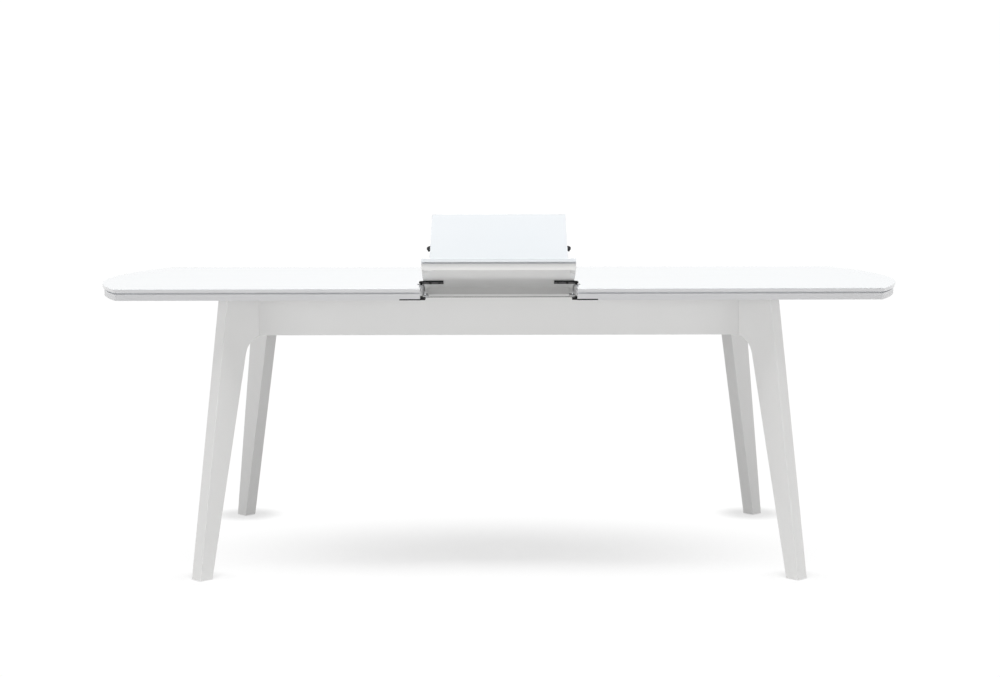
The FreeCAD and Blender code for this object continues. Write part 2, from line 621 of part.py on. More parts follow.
def hinge_leaf(middle, side):
    """A hinge plate with its knuckles; the front one has the first, middle and last knuckle."""
    start = f"({middle} - hinge_length / 2)"
    pitch = f"(hinge_length / {KNUCKLES})"
    spans = [(f"{start} + {k} * {pitch} + knuckle_gap / 2", f"{start} + {k + 1} * {pitch} - knuckle_gap / 2")
             for k in range(KNUCKLES)]
    own = [span for k, span in enumerate(spans) if (k % 2 == 0) == (side < 0)]
    other = [(f"{low} - knuckle_gap", f"{high} + knuckle_gap") for k, (low, high) in enumerate(spans)
             if (k % 2 == 0) != (side < 0)]
    near = "(fold_gap / 2 + hinge_setback)"
    plate = box((start, f"{start} + hinge_length"), flip((near, f"{near} + hinge_plate"), side),
                ("table_height - hinge_height", "table_height"))
    plate = cut(plate, [rod("X", FOLD_LINE, span, "knuckle_radius + hinge_relief") for span in other])
    body = joined([plate] + [rod("X", FOLD_LINE, span, "knuckle_radius") for span in own])
    bore_span = (f"{start} - {OVERRUN}", f"{start} + hinge_length + {OVERRUN}")
    return cut(body, [rod("X", FOLD_LINE, bore_span, "hinge_pin_radius + pin_play")])


def tongue_plate(hand, side):
    """A black plate under the leaf whose round tongue reaches past its edge, with a stud under the tongue."""
    middle = tongue_middle(side)
    flat = (f"{UNDER} - tongue_thick", UNDER)
    plate = box(flip(("leaf_width / 2 - tongue_length", "leaf_width / 2"), hand),
                (f"{middle} - tongue_depth / 2", f"{middle} + tongue_depth / 2"), flat)
    tip = f"{hand} * (leaf_width / 2 + tongue_out - tongue_width / 2)"
    tongue = rod("Z", (tip, middle), flat, "tongue_width / 2")
    stud = rod("Z", (f"{hand} * (leaf_width / 2 + stud_in)", middle),
               (f"{UNDER} - tongue_thick - stud_length", UNDER), "stud_radius")
    return joined([plate, tongue, stud])


def tongue_screws(hand, side):
    """A pair of screws near the leaf's edge and a single one at the plate's inner end."""
    places = [("tongue_screw_pair", -1), ("tongue_screw_pair", 1), ("tongue_screw_single", 0)]
    middle = tongue_middle(side)
    return [(f"{hand} * (leaf_width / 2 - {back})", f"{middle} + {across} * tongue_screw_spread / 2")
            for back, across in places]


for half, side in SIDES.items():
    seat = f"({UNDER} - tongue_thick)"
    places = [at for hand in HANDS.values() for at in tongue_screws(hand, side)]
    core_tools = hinge_recesses(side) + lug_recesses(side) + screw_holes("Z", places, seat, 1)
    core = slab(side, UNDER, CORE_TOP, "core_inset")
    part(f"leaf_{half}_core", stand(cut(core, core_tools), half))
    spacer = slab(side, CORE_TOP, PLATE_LOW, "spacer_inset")
    part(f"leaf_{half}_spacer", stand(cut(spacer, hinge_recesses(side)), half))
    plate = slab(side, PLATE_LOW, "table_height", "0")
    edge_y = side * value("top_depth / 2")
    plate = rim_round(plate, "table_height", lambda p, y=edge_y: abs(p.y - y) < 1)
    part(f"leaf_{half}_plate", stand(cut(plate, hinge_recesses(side)), half))
    for name, hand in HANDS.items():
        bores = screw_holes("Z", tongue_screws(hand, side), seat, 1)
        part(f"tongue_plate_{half}_{name}", stand(cut(tongue_plate(hand, side), bores), half))
    part(f"tongue_screws_{half}", stand(group(screws("Z", places, seat, 1)), half))
    part(f"fold_hinge_{half}_leaves", stand(group([hinge_leaf(middle, side) for middle in HINGES]), half))

hinge_spans = [(f"{middle} - hinge_length / 2", f"{middle} + hinge_length / 2") for middle in HINGES]
pins = [rod("X", FOLD_LINE, span, "hinge_pin_radius") for span in hinge_spans]
part("fold_hinge_pins", stand(group(pins), "front"))

batten_end = "(leaf_width / 2 - batten_end)"
batten = box((f"-{batten_end}", batten_end), (f"{PIVOT_Y} - batten_front", f"{PIVOT_Y} + batten_back"),
             (f"{UNDER} - batten_thick", UNDER))
pin_spans = [flip((f"{batten_end} - pin_bite", "cross_face"), hand) for hand in HANDS.values()]
bore_spans = [flip((f"{batten_end} - pin_bite - bore_spare", f"{batten_end} + {OVERRUN}"), hand)
              for hand in HANDS.values()]
pivot = (PIVOT_Y, PIVOT_Z)
pin_bores = [rod("X", pivot, span, "pin_radius + hole_clear / 2") for span in bore_spans]
part("leaf_batten", stand(cut(batten, pin_bores), "front"))
part("leaf_pivot_pins", stand(group([rod("X", pivot, span, "pin_radius") for span in pin_spans]), "front"))

# ---------------------------------------------------------------- files

doc.recompute()
failed = [item.Name for item in doc.Objects if {"Invalid", "Error"} & set(item.State)]
failed += [item.Label for item in PARTS if item.Shape.isNull() or not item.Shape.isValid()]
if failed:
    raise RuntimeError("not built: " + ", ".join(failed))
os.makedirs("parts", exist_ok=True)
for item in PARTS:
    item.Shape.exportStep(f"parts/{item.Label}.step")
    print(f"{item.Label}: {len(item.Shape.Solids)} solids, {item.Shape.Volume / 1000:.1f} cm3")
print(len(PARTS), "sub-parts")
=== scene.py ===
"""Butterfly leaf table: finishes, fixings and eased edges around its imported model, and a studio for it.

Metres. +X runs along the table, +Y to the back and +Z up; the floor is at zero.
"""

import json
import math

import bmesh
import bpy
from mathutils import Matrix, Vector


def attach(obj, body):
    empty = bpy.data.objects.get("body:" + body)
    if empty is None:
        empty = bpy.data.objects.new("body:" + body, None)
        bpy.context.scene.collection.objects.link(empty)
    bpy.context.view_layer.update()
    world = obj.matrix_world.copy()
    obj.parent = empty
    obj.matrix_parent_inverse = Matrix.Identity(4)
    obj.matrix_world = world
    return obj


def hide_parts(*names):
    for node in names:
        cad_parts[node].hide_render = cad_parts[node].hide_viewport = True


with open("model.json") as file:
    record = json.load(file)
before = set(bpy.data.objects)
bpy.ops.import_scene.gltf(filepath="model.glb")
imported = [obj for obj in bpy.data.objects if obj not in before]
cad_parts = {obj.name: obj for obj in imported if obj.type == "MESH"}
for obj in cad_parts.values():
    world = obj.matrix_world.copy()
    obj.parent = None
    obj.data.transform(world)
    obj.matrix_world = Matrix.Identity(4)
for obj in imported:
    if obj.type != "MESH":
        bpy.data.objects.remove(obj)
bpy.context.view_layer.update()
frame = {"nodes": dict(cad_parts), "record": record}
NODES = frame["nodes"]
RECORD = frame["record"]
SLOT_OF = {row["node"]: row["material_slot"] for row in RECORD["subparts"]}
BODY_OF = {node: body for body, nodes in RECORD["behaviour"]["bodies"].items() for node in nodes}
MM = 0.001


# ---------------------------------------------------------------- node graphs

class Link:
    """A socket in a node graph; Python's operators on it add Math nodes."""

    def __init__(self, graph, socket):
        self.graph, self.socket = graph, socket

    def __add__(self, other):
        return self.graph.math("ADD", self, other)

    def __radd__(self, other):
        return self.graph.math("ADD", other, self)

    def __rsub__(self, other):
        return self.graph.math("SUBTRACT", other, self)

    def __mul__(self, other):
        return self.graph.math("MULTIPLY", self, other)

    def __rmul__(self, other):
        return self.graph.math("MULTIPLY", other, self)


class Graph:
    """A node tree with one method that adds any node."""

    def __init__(self, tree):
        self.tree = tree

    def node(self, kind, inputs=None, output=0, **settings):
        """Adds a node: its settings come first, then the values or links of its sockets."""
        made = self.tree.nodes.new(kind)
        stops = settings.pop("stops", None)
        for name, setting in settings.items():
            setattr(made, name, setting)
        if stops:
            self.set_stops(made.color_ramp, stops)
        for key, fed in (inputs or {}).items():
            self.feed(made.inputs[key], fed)
        return Link(self, made.outputs[output])

    def set_stops(self, ramp, stops):
        while len(ramp.elements) < len(stops):
            ramp.elements.new(1.0)
        for element, (place, colour) in zip(ramp.elements, stops):
            element.position = place
            element.color = colour

    def feed(self, socket, fed):
        if isinstance(fed, Link):
            self.tree.links.new(fed.socket, socket)
        else:
            socket.default_value = fed

    def math(self, operation, *values):
        return self.node("ShaderNodeMath", dict(enumerate(values)), operation=operation)


class Finish(Graph):
    """A material in the making; steady holds the shader's values that are the same all over."""

    def __init__(self, name, steady):
        self.material = bpy.data.materials.new(name)
        self.material.use_nodes = True
        super().__init__(self.material.node_tree)
        self.shader = self.tree.nodes["Principled BSDF"]
        for key, fed in steady.items():
            self.feed(self.shader.inputs[key], fed)
        self.place = self.node("ShaderNodeTexCoord", output="Object")

    def set(self, **varied):
        """Links what varies over the surface, such as base_color=... or roughness=..."""
        for key, link in varied.items():
            self.feed(self.shader.inputs[key.replace("_", " ").title()], link)
        return self.material

    def stretched(self, scale):
        """Object coordinates with a scale of their own along each axis."""
        return self.node("ShaderNodeMapping", {"Vector": self.place, "Scale": scale})

    def noise(self, scale, detail=2.0, roughness=0.5, where=None):
        sockets = {"Vector": where or self.place, "Scale": scale, "Detail": detail, "Roughness": roughness}
        return self.node("ShaderNodeTexNoise", sockets)

    def blend(self, factor, first, second):
        return self.node("ShaderNodeMix", {0: factor, 6: first, 7: second}, output=2, data_type="RGBA")

    def ramp(self, factor, *stops):
        return self.node("ShaderNodeValToRGB", {"Fac": factor}, stops=stops)

    def marked(self, name):
        """1 on the faces with this mark and 0 elsewhere."""
        return self.node("ShaderNodeAttribute", output="Fac", attribute_name=name)

    def bump(self, height, depth):
        """A relief whose height runs from 0 to the depth, in metres."""
        return self.node("ShaderNodeBump", {"Height": height, "Distance": depth, "Strength": 1.0})


def grey(level):
    return (level, level, level, 1.0)


# ---------------------------------------------------------------- finishes

def gloss_lacquer():
    """Polished white lacquer: a cool tone that drifts slowly, faint wiping marks and a trace of orange peel.

    It is painted greyer on the faces that are marked as a plate's rim: painted shade for the upright edges,
    which get less of the light from above than the top.
    """
    finish = Finish("gloss_lacquer", {"IOR": 1.45})
    drift = finish.noise(2.2, detail=1.0)
    wiped = finish.noise(9.0, detail=4.0, roughness=0.65, where=finish.stretched((0.35, 1.6, 1.0)))
    peel = finish.noise(140.0, detail=0.0)
    colour = finish.blend(drift, (0.826, 0.864, 0.895, 1.0), (0.852, 0.880, 0.902, 1.0))
    # painted shade: the plates' rim faces are greyer to stand for the weaker light on their upright edges
    colour = finish.blend(finish.marked("painted_rim_shade"), colour, (0.70, 0.70, 0.71, 1.0))
    return finish.set(base_color=colour, roughness=0.10 + 0.02 * wiped, normal=finish.bump(peel, 0.001 * MM))


def satin_lacquer():
    """Sprayed satin white: fine spray texture over slow, shallow waves, and a faintly uneven sheen.

    Faces that are marked on the aprons' tops are painted charcoal, a painted shadow for the dark gap between
    the aprons and the leaf above; they are rougher as well.
    """
    finish = Finish("satin_lacquer", {"IOR": 1.48})
    drift = finish.noise(3.0, detail=2.0)
    spray = finish.noise(1500.0, detail=1.0)
    waves = finish.noise(55.0, detail=1.0)
    sheen = finish.noise(22.0, detail=3.0)
    colour = finish.blend(drift, (0.775, 0.772, 0.762, 1.0), (0.815, 0.815, 0.808, 1.0))
    painted_gap_shade = finish.marked("painted_gap_shade")
    # painted shadow: the aprons' top faces go charcoal to stand for the dark gap under the leaf
    colour = finish.blend(painted_gap_shade, colour, (0.035, 0.035, 0.038, 1.0))
    relief = finish.bump(0.7 * waves + 0.3 * spray, 0.03 * MM)
    return finish.set(base_color=colour, roughness=0.33 + 0.14 * sheen + 0.5 * painted_gap_shade, normal=relief)


def edge_lacquer():
    """The lacquered edge of the boards under the plates, slightly greyer, with fine lines along the edge."""
    finish = Finish("edge_lacquer", {"IOR": 1.48})
    lines = finish.noise(1.0, detail=3.0, where=finish.stretched((3.0, 3.0, 420.0)))
    spray = finish.noise(1500.0, detail=1.0)
    colour = finish.blend(lines, (0.66, 0.66, 0.672, 1.0), (0.76, 0.76, 0.768, 1.0))
    relief = finish.bump(0.5 * lines + 0.5 * spray, 0.03 * MM)
    return finish.set(base_color=colour, roughness=0.28 + 0.16 * lines, normal=relief)


def shadow_strip():
    """The recessed band between plate and board, with the fine lines of a drawn foil."""
    finish = Finish("shadow_strip", {"IOR": 1.45})
    drawn = finish.noise(1.0, detail=4.0, where=finish.stretched((2.0, 2.0, 1800.0)))
    colour = finish.blend(drawn, (0.74, 0.745, 0.76, 1.0), (0.82, 0.825, 0.84, 1.0))
    return finish.set(base_color=colour, roughness=0.35 + 0.2 * drawn, normal=finish.bump(drawn, 0.02 * MM))


def beech(name, grain):
    """Raw beech: growth bands, fine fibres and the short dark flecks of rays, drawn out along the grain."""
    finish = Finish(name, {"IOR": 1.45})
    along = Vector(grain)
    fibre_scale = tuple(1.0 - 0.94 * a for a in along)
    fleck_scale = tuple(1.0 - 0.86 * a for a in along)
    drift = finish.noise(14.0, detail=2.0, where=finish.stretched(fibre_scale))
    fibre = finish.noise(900.0, detail=3.0, roughness=0.7, where=finish.stretched(fibre_scale))
    fleck = finish.noise(1300.0, detail=0.0, where=finish.stretched(fleck_scale))
    bands = finish.math("SINE", drift * 60.0) * 0.5 + 0.5
    wood = finish.blend(bands, (0.56, 0.40, 0.245, 1.0), (0.65, 0.485, 0.315, 1.0))
    wood = finish.blend(fibre * 0.35, wood, (0.48, 0.33, 0.19, 1.0))
    dark = finish.ramp(fleck, (0.66, grey(0.0)), (0.72, grey(1.0)))
    colour = finish.blend(dark * 0.55, wood, (0.36, 0.22, 0.12, 1.0))
    return finish.set(base_color=colour, roughness=0.58 + 0.2 * fibre, normal=finish.bump(fibre, 0.06 * MM))


def drawn_aluminium():
    """Extruded aluminium: the lines of the die run along the rail."""
    finish = Finish("drawn_aluminium", {"Metallic": 1.0})
    lines = finish.noise(1.0, detail=5.0, roughness=0.7, where=finish.stretched((3.0, 1700.0, 1700.0)))
    stain = finish.noise(30.0, detail=3.0)
    colour = finish.blend(stain, (0.64, 0.65, 0.66, 1.0), (0.76, 0.77, 0.78, 1.0))
    return finish.set(base_color=colour, roughness=0.24 + 0.22 * lines, normal=finish.bump(lines, 0.02 * MM))


def black_coat():
    """Black powder coat: fine pebbled relief, with a slightly uneven sheen."""
    finish = Finish("black_coat", {"IOR": 1.5, "Specular IOR Level": 0.25})
    pebble = finish.noise(1400.0, detail=2.0)
    cloud = finish.noise(60.0, detail=2.0)
    colour = finish.blend(cloud, (0.004, 0.004, 0.005, 1.0), (0.010, 0.010, 0.011, 1.0))
    return finish.set(base_color=colour, roughness=0.45 + 0.2 * cloud, normal=finish.bump(pebble, 0.05 * MM))


def zinc_plate():
    """Bright zinc plating with a faint bloom from blue to straw and fine turning marks."""
    finish = Finish("zinc_plate", {"Metallic": 1.0})
    bloom = finish.noise(85.0, detail=3.0)
    marks = finish.noise(2600.0, detail=2.0)
    colour = finish.ramp(bloom, (0.30, (0.56, 0.58, 0.62, 1.0)), (0.52, (0.66, 0.66, 0.65, 1.0)),
                         (0.72, (0.66, 0.65, 0.61, 1.0)))
    return finish.set(base_color=colour, roughness=0.24 + 0.2 * marks, normal=finish.bump(marks, 0.01 * MM))


def moulded_nylon():
    """Grey moulded nylon: soft sheen and a fine eroded texture."""
    finish = Finish("moulded_nylon", {"IOR": 1.5})
    eroded = finish.noise(1800.0, detail=3.0)
    flow = finish.noise(120.0, detail=1.0)
    colour = finish.blend(flow, (0.30, 0.30, 0.31, 1.0), (0.37, 0.37, 0.375, 1.0))
    relief = finish.bump(eroded, 0.03 * MM)
    return finish.set(base_color=colour, roughness=0.42 + 0.18 * eroded, normal=relief)


ALONG_Y, UPRIGHT = (0.0, 1.0, 0.0), (0.0, 0.0, 1.0)
FINISHES = {
    "gloss_white": gloss_lacquer(),
    "satin_white": satin_lacquer(),
    "shadow_grey": shadow_strip(),
    "beech": beech("beech_blocks", UPRIGHT),
    "runner_alloy": drawn_aluminium(),
    "black_steel": black_coat(),
    "zinc_steel": zinc_plate(),
    "grey_nylon": moulded_nylon(),
}
EDGE_LACQUER = edge_lacquer()
BEECH_DOWELS = beech("beech_dowels", ALONG_Y)


def finish_of(node):
    if node.endswith("top_core"):
        return EDGE_LACQUER
    if node == "rail_dowels":
        return BEECH_DOWELS
    return FINISHES[SLOT_OF[node]]


# ---------------------------------------------------------------- eased copies of the boards and plates

def evaluated_mesh(item):
    """The item's mesh with its modifiers applied."""
    graph = bpy.context.evaluated_depsgraph_get()
    graph.update()
    return bpy.data.meshes.new_from_object(item.evaluated_get(graph))


def finished(name, mesh, body, material):
    """A finished piece at the origin, on its body and with its slot."""
    piece = bpy.data.objects.new(name, mesh)
    bpy.context.scene.collection.objects.link(piece)
    mesh.materials.clear()
    mesh.materials.append(material)
    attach(piece, body)
    return piece


def smooth_to(mesh, angle):
    """Smooth shading that breaks where faces meet at more than the angle."""
    mesh.shade_smooth()
    mesh.set_sharp_from_angle(angle=angle)


MERGE = 0.001 * MM
FLAT = math.radians(0.4)
CREASE = math.radians(32)
ROUND_STEPS = 2
RIM_BELOW = 0.5  # the Z of a normal on a plate's rim is smaller than this
TOP_ABOVE = 0.99  # and on an apron's top edge it is larger than this


def on_painted_rim(normal):
    return abs(normal.z) < RIM_BELOW


def on_top(normal):
    return normal.z > TOP_ABOVE


# Marks for painted shade: the plates' rims go greyer, and the aprons' tops go charcoal as a painted shadow of
# the gap under the leaf.
MARKS = {"left_top_plate": ("painted_rim_shade", on_painted_rim), "right_top_plate": ("painted_rim_shade", on_painted_rim),
         "front_apron": ("painted_gap_shade", on_top), "rear_apron": ("painted_gap_shade", on_top)}


def mark(mesh, name, test):
    """Adds an attribute that is 1 on the faces whose normal passes the test, where a finish changes."""
    marks = mesh.attributes.new(name, "FLOAT", "FACE")
    marks.data.foreach_set("value", [float(test(face.normal)) for face in mesh.polygons])


def ease(node, width):
    """Puts a merged copy of a CAD piece, with its sharp edges eased by a small round, in the piece's place.

    Its normals follow the large faces, so that flat boards stay flat in the gloss.
    """
    work = bmesh.new()
    work.from_mesh(NODES[node].data)
    bmesh.ops.remove_doubles(work, verts=work.verts, dist=MERGE)
    bmesh.ops.dissolve_limit(work, angle_limit=FLAT, verts=work.verts, edges=work.edges)
    mesh = bpy.data.meshes.new(node + "_eased")
    work.to_mesh(mesh)
    work.free()
    if "custom_normal" in mesh.attributes:
        mesh.attributes.remove(mesh.attributes["custom_normal"])
    mesh.shade_smooth()
    draft = bpy.data.objects.new(node + "_draft", mesh)
    bpy.context.scene.collection.objects.link(draft)
    bevel = draft.modifiers.new("eased", "BEVEL")
    bevel.width = width
    bevel.segments = ROUND_STEPS
    bevel.limit_method = "ANGLE"
    bevel.angle_limit = CREASE
    flat = draft.modifiers.new("flat", "WEIGHTED_NORMAL")
    flat.mode = "FACE_AREA"
    flat.weight = 100
    rounded = evaluated_mesh(draft)
    bpy.data.objects.remove(draft)
    rounded.name = node + "_eased"
    if node in MARKS:
        mark(rounded, *MARKS[node])
    piece = finished(node + "_eased", rounded, BODY_OF[node], finish_of(node))
    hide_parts(node)


def with_slot(slot):
    return [node for node in NODES if SLOT_OF[node] == slot]


def named(*starts):
    return [node for node in NODES if node.startswith(starts)]


EASED = {
    "lacquered boards": (0.4 * MM, with_slot("satin_white")),
    "plates": (0.35 * MM, with_slot("gloss_white")),
    "grey bands": (0.2 * MM, with_slot("shadow_grey")),
    "beech": (0.8 * MM, with_slot("beech")),
    "aluminium": (0.3 * MM, with_slot("runner_alloy")),
    "black steel": (0.5 * MM, named("tongue_plate", "pivot_bracket", "left_leaf_rest", "right_leaf_rest")),
    "glides": (0.7 * MM, ["foot_glides"]),
    "bearings": (0.25 * MM, ["pivot_bushes", "leaf_pivot_pins"]),
    "fold hinges": (0.06 * MM, named("fold_hinge")),
}
for width, nodes in EASED.values():
    for node in nodes:
        ease(node, width)

for node, item in NODES.items():
    item.data.materials.clear()
    item.data.materials.append(finish_of(node))

# ---------------------------------------------------------------- patterns of the fixings

TURN = 2 * math.pi


def triangle_wave(phase):
    return abs((phase % 1.0) * 2.0 - 1.0)


def turned(work, profile, sides, pitch=1.0):
    """Adds a round solid about Z from (radius, height) pairs, in millimetres.

    A third number makes a ring part of a thread of that depth. A profile that starts off the axis closes on
    itself.
    """
    rings = []
    for radius, height, *thread in profile:
        depth = thread[0] if thread else 0.0
        ring = []
        for k in range(sides if radius else 1):
            out = (radius - depth * triangle_wave(height / pitch + k / sides)) * MM
            ring.append(work.verts.new((out * math.cos(TURN * k / sides), out * math.sin(TURN * k / sides),
                                        height * MM)))
        rings.append(ring)
    if len(rings[0]) > 1:
        rings.append(rings[0])
    for low, high in zip(rings, rings[1:]):
        for k in range(sides):
            loop = [low[k % len(low)], low[(k + 1) % sides % len(low)], high[(k + 1) % sides % len(high)],
                    high[k % len(high)]]
            work.faces.new(list(dict.fromkeys(loop)))


def tapered(work, outline, low, high, shrink):
    """Adds a prism between two heights, in millimetres, whose upper outline is drawn in by the factor."""
    rings = [[work.verts.new((x * factor * MM, y * factor * MM, height * MM)) for x, y in outline]
             for factor, height in ((1.0, low), (shrink, high))]
    count = len(outline)
    for k in range(count):
        step = (k + 1) % count
        work.faces.new([rings[0][k], rings[0][step], rings[1][step], rings[1][k]])
    work.faces.new(rings[0][::-1])
    work.faces.new(rings[1])


def shape_of(name, build):
    """An object whose mesh build(bmesh) makes."""
    work = bmesh.new()
    build(work)
    bmesh.ops.recalc_face_normals(work, faces=work.faces)
    mesh = bpy.data.meshes.new(name)
    work.to_mesh(mesh)
    work.free()
    item = bpy.data.objects.new(name, mesh)
    bpy.context.scene.collection.objects.link(item)
    return item


def combine(first, other, operation):
    """Changes the first object's mesh by a boolean step with the other object, which is used up."""
    step = first.modifiers.new("step", "BOOLEAN")
    step.operation = operation
    step.object = other
    step.solver = "EXACT"
    first.data = evaluated_mesh(first)
    first.modifiers.clear()
    bpy.data.objects.remove(other)


def quarter_turns(points):
    """The points with their copies at each quarter of a turn."""
    return [(x * c - y * s, x * s + y * c) for c, s in ((1, 0), (0, 1), (-1, 0), (0, -1)) for x, y in points]


RECESS_START = -0.4
RECESS_SHRINK = 0.55


def cross_recess(reach, half, depth):
    """A tapered cross that cuts a driver's recess from just above the head's top."""
    outline = quarter_turns([(reach, -half), (reach, half), (half, half)])
    return shape_of("recess", lambda work: tapered(work, outline, RECESS_START, depth, RECESS_SHRINK))


SCREW_LENGTH = 13.8
SCREW_PITCH = 1.3


def screw_pattern():
    """A wood screw: its domed head's top is at the origin, its threaded shank runs along +Z to a point."""
    head = [(0.0, 0.0), (1.2, 0.03), (2.3, 0.2), (3.1, 0.6), (3.5, 1.15), (3.6, 1.5), (3.55, 1.75),
            (3.4, 1.8)]
    neck = [(1.75, 1.8), (1.7, 2.3)]
    rings = 38
    start, stop = 2.5, SCREW_LENGTH - 2.2
    thread = [(2.0, start + (stop - start) * k / rings, 0.55) for k in range(rings + 1)]
    point = [(1.25, SCREW_LENGTH - 1.5, 0.2), (0.6, SCREW_LENGTH - 0.6), (0.0, SCREW_LENGTH)]
    profile = head + neck + thread + point
    screw = shape_of("screw", lambda work: turned(work, profile, sides=14, pitch=SCREW_PITCH))
    combine(screw, cross_recess(reach=2.0, half=0.42, depth=1.25), "DIFFERENCE")
    smooth_to(screw.data, CREASE)
    return screw


def hinge_screw_pattern():
    """The flat head of a small countersunk screw, its top just proud of the origin's plane."""
    head = [(0.0, -0.14), (1.7, -0.12), (2.05, -0.02), (2.1, 0.12), (1.5, 0.7), (0.0, 0.7)]
    screw = shape_of("hinge_screw", lambda work: turned(work, head, sides=20))
    combine(screw, cross_recess(reach=1.25, half=0.27, depth=0.5), "DIFFERENCE")
    smooth_to(screw.data, CREASE)
    return screw


BOLT_LENGTH = 78.1
BOLT_PITCH = 1.25
NUT_LOW, NUT_HIGH, WASHER_HIGH = 4.0, 10.5, 12.1
NUT_CORNER, NUT_FLAT = 7.5, 6.5


def bolt_pattern():
    """A threaded stud from the origin along +Z, with its chamfered nut and the washer below that."""
    rings = 58
    start, stop = 0.9, 16.0
    thread = [(4.0, start + (stop - start) * k / rings, 0.6) for k in range(rings + 1)]
    stud = [(0.0, 0.0), (3.0, 0.0), (3.5, 0.5)] + thread + [(3.95, 16.6), (3.95, BOLT_LENGTH - 1.0),
                                                              (3.2, BOLT_LENGTH), (0.0, BOLT_LENGTH)]
    hexagon = [(NUT_CORNER * math.cos(TURN * k / 6), NUT_CORNER * math.sin(TURN * k / 6)) for k in range(6)]
    nut = shape_of("nut", lambda work: tapered(work, hexagon, NUT_LOW, NUT_HIGH, 1.0))
    slope = (NUT_CORNER - NUT_FLAT) * math.tan(math.radians(30)) + 0.1
    barrel = [(0.0, NUT_LOW - 0.5), (NUT_FLAT - 0.1, NUT_LOW - 0.01), (NUT_CORNER + 0.1, NUT_LOW + slope),
              (NUT_CORNER + 0.1, NUT_HIGH - slope), (NUT_FLAT - 0.1, NUT_HIGH + 0.01), (0.0, NUT_HIGH + 0.5)]
    combine(nut, shape_of("barrel", lambda work: turned(work, barrel, sides=36)), "INTERSECT")
    bore = [(0.0, NUT_LOW - 1.0), (4.6, NUT_LOW - 1.0), (4.6, NUT_LOW + 0.01), (4.05, NUT_LOW + 0.6),
            (4.05, NUT_HIGH + 1.0), (0.0, NUT_HIGH + 1.0)]
    combine(nut, shape_of("bore", lambda work: turned(work, bore, sides=24)), "DIFFERENCE")
    washer = [(4.3, NUT_HIGH), (8.6, NUT_HIGH), (9.0, NUT_HIGH + 0.4), (9.0, WASHER_HIGH), (4.3, WASHER_HIGH)]

    def assemble(work):
        turned(work, stud, sides=18, pitch=BOLT_PITCH)
        turned(work, washer, sides=32)
        work.from_mesh(nut.data)

    bolt = shape_of("bolt", assemble)
    bpy.data.objects.remove(nut)
    smooth_to(bolt.data, CREASE)
    return bolt


# ---------------------------------------------------------------- fixings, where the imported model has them

def solids_of(node):
    """Each separate solid of a node, as its faces' (centre, normal, area) and its points."""
    work = bmesh.new()
    work.from_mesh(NODES[node].data)
    bmesh.ops.remove_doubles(work, verts=work.verts, dist=MERGE)
    left = set(work.faces)
    solids = []
    while left:
        stack = [left.pop()]
        faces = []
        while stack:
            face = stack.pop()
            faces.append(face)
            near = {other for edge in face.edges for other in edge.link_faces} & left
            left -= near
            stack.extend(near)
        rows = [(face.calc_center_median(), face.normal.copy(), face.calc_area()) for face in faces]
        solids.append((rows, [vert.co.copy() for face in faces for vert in face.verts]))
    work.free()
    return solids


ALONG_AXIS = 0.9999  # the cosine past which a face counts as square to the axis
END_DEPTH = 5.0 * MM


def outer_end(solid):
    """The middle of the wide end of a headed solid, and the way from there along its axis."""
    rows, points = solid
    spread = {}
    for centre, normal, area in rows:
        key = tuple(round(value, 3) for value in normal)
        spread[key] = spread.get(key, 0.0) + area
    axis = Vector(max(spread, key=spread.get)).normalized()
    ends = [(centre, area) for centre, normal, area in rows if abs(normal.dot(axis)) > ALONG_AXIS]
    middle = sum((centre * area for centre, area in ends), Vector()) / sum(area for centre, area in ends)

    def width_at(way):
        far = max(point.dot(way) for point in points)
        return max((point - middle - way * (point - middle).dot(way)).length for point in points
                   if far - point.dot(way) < END_DEPTH)

    if width_at(axis) > width_at(-axis):
        axis = -axis
    near = min(point.dot(axis) for point in points)
    return middle + axis * (near - middle.dot(axis)), axis


def fixings_group():
    """Geometry nodes that set a pattern on points, along each point's way and turned at random about it."""
    tree = bpy.data.node_groups.new("fixings", "GeometryNodeTree")
    keys = {name: tree.interface.new_socket(name, in_out="INPUT", socket_type=kind).identifier
            for name, kind in (("Places", "NodeSocketGeometry"), ("Pattern", "NodeSocketObject"),
                               ("Finish", "NodeSocketMaterial"), ("Seed", "NodeSocketInt"))}
    tree.interface.new_socket("Pieces", in_out="OUTPUT", socket_type="NodeSocketGeometry")
    graph = Graph(tree)
    entry = tree.nodes.new("NodeGroupInput")
    given = {name: Link(graph, entry.outputs[name]) for name in keys}
    way = graph.node("GeometryNodeInputNamedAttribute", {"Name": "way"}, data_type="FLOAT_VECTOR")
    spin = graph.node("FunctionNodeRandomValue", {2: 0.0, 3: TURN, "Seed": given["Seed"]}, output=1,
                      data_type="FLOAT")
    facing = graph.node("FunctionNodeAlignRotationToVector", {"Vector": way}, axis="Z")
    about = graph.node("FunctionNodeAxisAngleToRotation", {"Axis": (0.0, 0.0, 1.0), "Angle": spin})
    turn = graph.node("FunctionNodeRotateRotation", {0: facing, 1: about}, rotation_space="LOCAL")
    pattern = graph.node("GeometryNodeObjectInfo", {"Object": given["Pattern"]}, output="Geometry")
    placed = graph.node("GeometryNodeInstanceOnPoints",
                        {"Points": given["Places"], "Instance": pattern, "Rotation": turn})
    real = graph.node("GeometryNodeRealizeInstances", {"Geometry": placed})
    painted = graph.node("GeometryNodeSetMaterial", {"Geometry": real, "Material": given["Finish"]})
    graph.feed(tree.nodes.new("NodeGroupOutput").inputs["Pieces"], painted)
    return tree, keys


FIXINGS, FIXINGS_KEYS = fixings_group()


